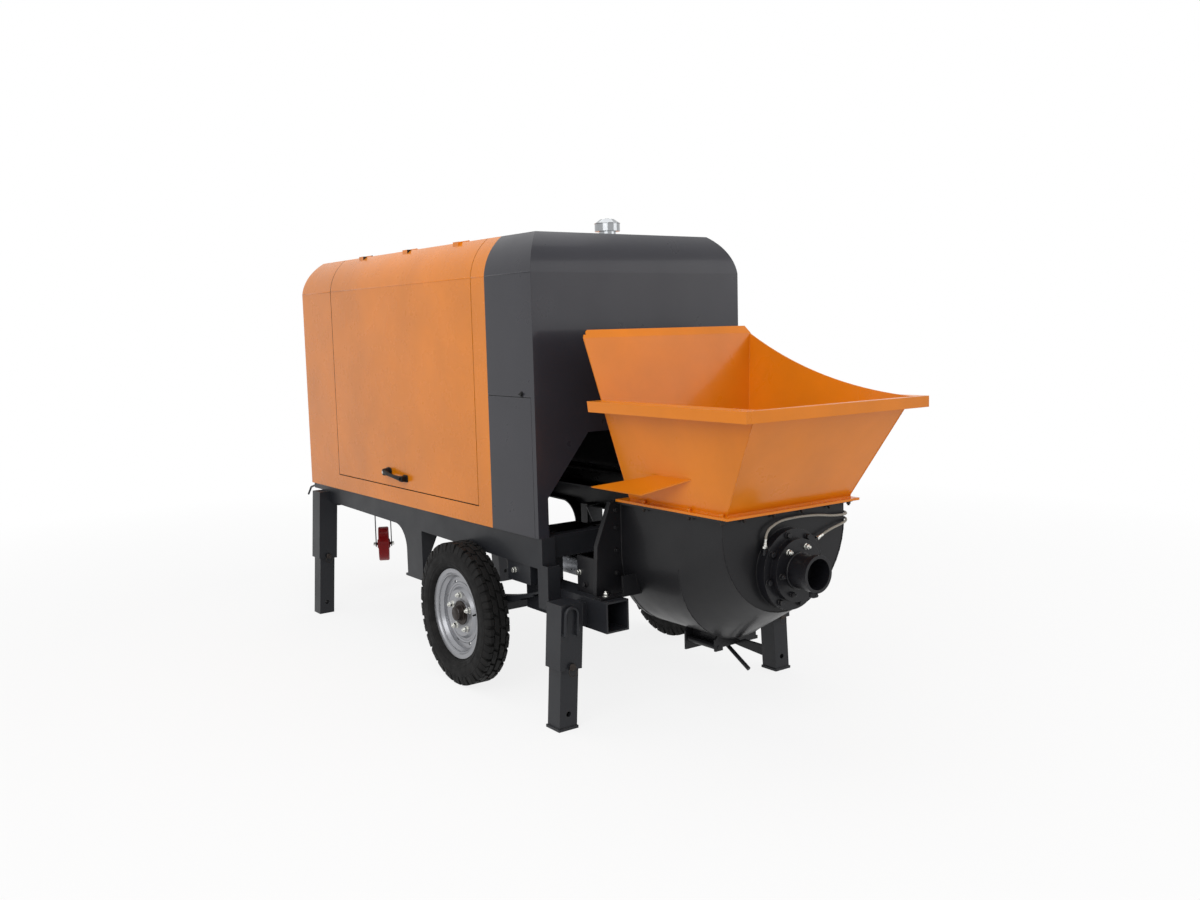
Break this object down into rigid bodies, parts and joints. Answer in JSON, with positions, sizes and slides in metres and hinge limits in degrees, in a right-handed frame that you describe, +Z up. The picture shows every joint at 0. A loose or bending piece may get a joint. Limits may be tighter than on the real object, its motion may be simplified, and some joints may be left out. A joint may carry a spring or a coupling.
{
  "type": "trailer-mounted concrete pump",
  "caption": "Towed diesel concrete pump with enclosed sheet-metal canopy, gull-wing doors, rear loading hopper, swinging transfer tube and delivery outlet on two road wheels and four legs",
  "frame": {"origin": "on the ground under the middle of the whole machine's box", "axes": "X runs forward to the towing eye, Y to the machine's left side, Z up"},
  "size_m": [4.7528, 1.434, 2.199],
  "materials": {
    "chassis_paint": "semi-gloss dark grey paint",
    "housing_paint": "glossy orange paint",
    "grey_paint": "semi-gloss dark grey paint",
    "tub_paint": "satin near-black paint",
    "machined_steel": "turned steel",
    "handle_black": "matt black",
    "hose_rubber": "dull beige-grey",
    "caster_red": "matt dark red",
    "cast_black": "cast and painted dark",
    "rim_paint": "silver paint",
    "bright_metal": "bright plated",
    "wheel_tyre": "matt black rubber"
  },
  "bodies": {
    "trailer": {"axle": "chassis_paint", "canopy_front_shell": "housing_paint", "canopy_rear_shell": "grey_paint", "chassis_frame": "chassis_paint", "concrete_cylinder_left": "machined_steel", "concrete_cylinder_right": "machined_steel", "drawbar": "chassis_paint", "engine_block": "chassis_paint", "grease_hose_left": "hose_rubber", "grease_hose_right": "hose_rubber", "hopper_funnel": "housing_paint", "hopper_tub": "tub_paint", "hydraulic_ram_left": "machined_steel", "hydraulic_ram_right": "machined_steel", "jockey_mast": "chassis_paint", "leaf_spring_left": "chassis_paint", "leaf_spring_right": "chassis_paint", "leg_sleeve_front_left": "chassis_paint", "leg_sleeve_front_right": "chassis_paint", "leg_sleeve_rear_left": "chassis_paint", "leg_sleeve_rear_right": "chassis_paint", "leg_tube_front_left": "chassis_paint", "leg_tube_front_right": "chassis_paint", "leg_tube_rear_left": "chassis_paint", "leg_tube_rear_right": "chassis_paint", "outlet_flange": "cast_black", "outlet_pipe": "cast_black", "rear_beam_left": "chassis_paint", "rear_beam_right": "chassis_paint", "roof_cap": "bright_metal", "service_panel_left": "grey_paint", "service_panel_right": "grey_paint", "tub_bulkhead": "tub_paint", "water_box": "chassis_paint"},
    "cleanout": {"cleanout_door": "tub_paint"},
    "door_left": {"door_handle_left": "handle_black", "door_left": "housing_paint"},
    "door_right": {"door_handle_right": "handle_black", "door_right": "housing_paint"},
    "jockey_fork": {"jockey_fork": "chassis_paint"},
    "jockey_wheel": {"jockey_wheel": "caster_red"},
    "wheel_left": {"rim_left": "rim_paint", "tyre_left": "wheel_tyre"},
    "wheel_right": {"rim_right": "rim_paint", "tyre_right": "wheel_tyre"},
    "transfer_valve": {"transfer_tube": "cast_black"}
  },
  "joints": [
    {"name": "wheel_left_spin", "type": "hinge", "parent": "trailer", "child": "wheel_left", "pos_m": [-0.5614, 0.653, 0.347], "axis": [0, 1, 0], "continuous": true},
    {"name": "door_left_hinge", "type": "hinge", "parent": "trailer", "child": "door_left", "pos_m": [0.1601, 0.486, 2.1205], "axis": [1, 0, 0], "range_deg": [0, 80]},
    {"name": "wheel_right_spin", "type": "hinge", "parent": "trailer", "child": "wheel_right", "pos_m": [-0.5614, -0.653, 0.347], "axis": [0, 1, 0], "continuous": true},
    {"name": "door_right_hinge", "type": "hinge", "parent": "trailer", "child": "door_right", "pos_m": [0.1601, -0.486, 2.1205], "axis": [-1, 0, 0], "range_deg": [0, 80]},
    {"name": "cleanout_hinge", "type": "hinge", "parent": "trailer", "child": "cleanout", "pos_m": [-1.6994, 0.126, 0.3447], "axis": [1, 0, 0], "range_deg": [0, 85]},
    {"name": "valve_swing", "type": "hinge", "parent": "trailer", "child": "transfer_valve", "pos_m": [-1.4264, 0, 0.712], "axis": [1, 0, 0], "range_deg": [-77.8, 0]},
    {"name": "jockey_swivel", "type": "hinge", "parent": "trailer", "child": "jockey_fork", "pos_m": [1.7056, 0, 0.52], "axis": [0, 0, 1], "continuous": true},
    {"name": "jockey_wheel_spin", "type": "hinge", "parent": "jockey_fork", "child": "jockey_wheel", "pos_m": [1.66965, 0.01753, 0.276], "axis": [0.4384, 0.8988, 0], "continuous": true}
  ]
}
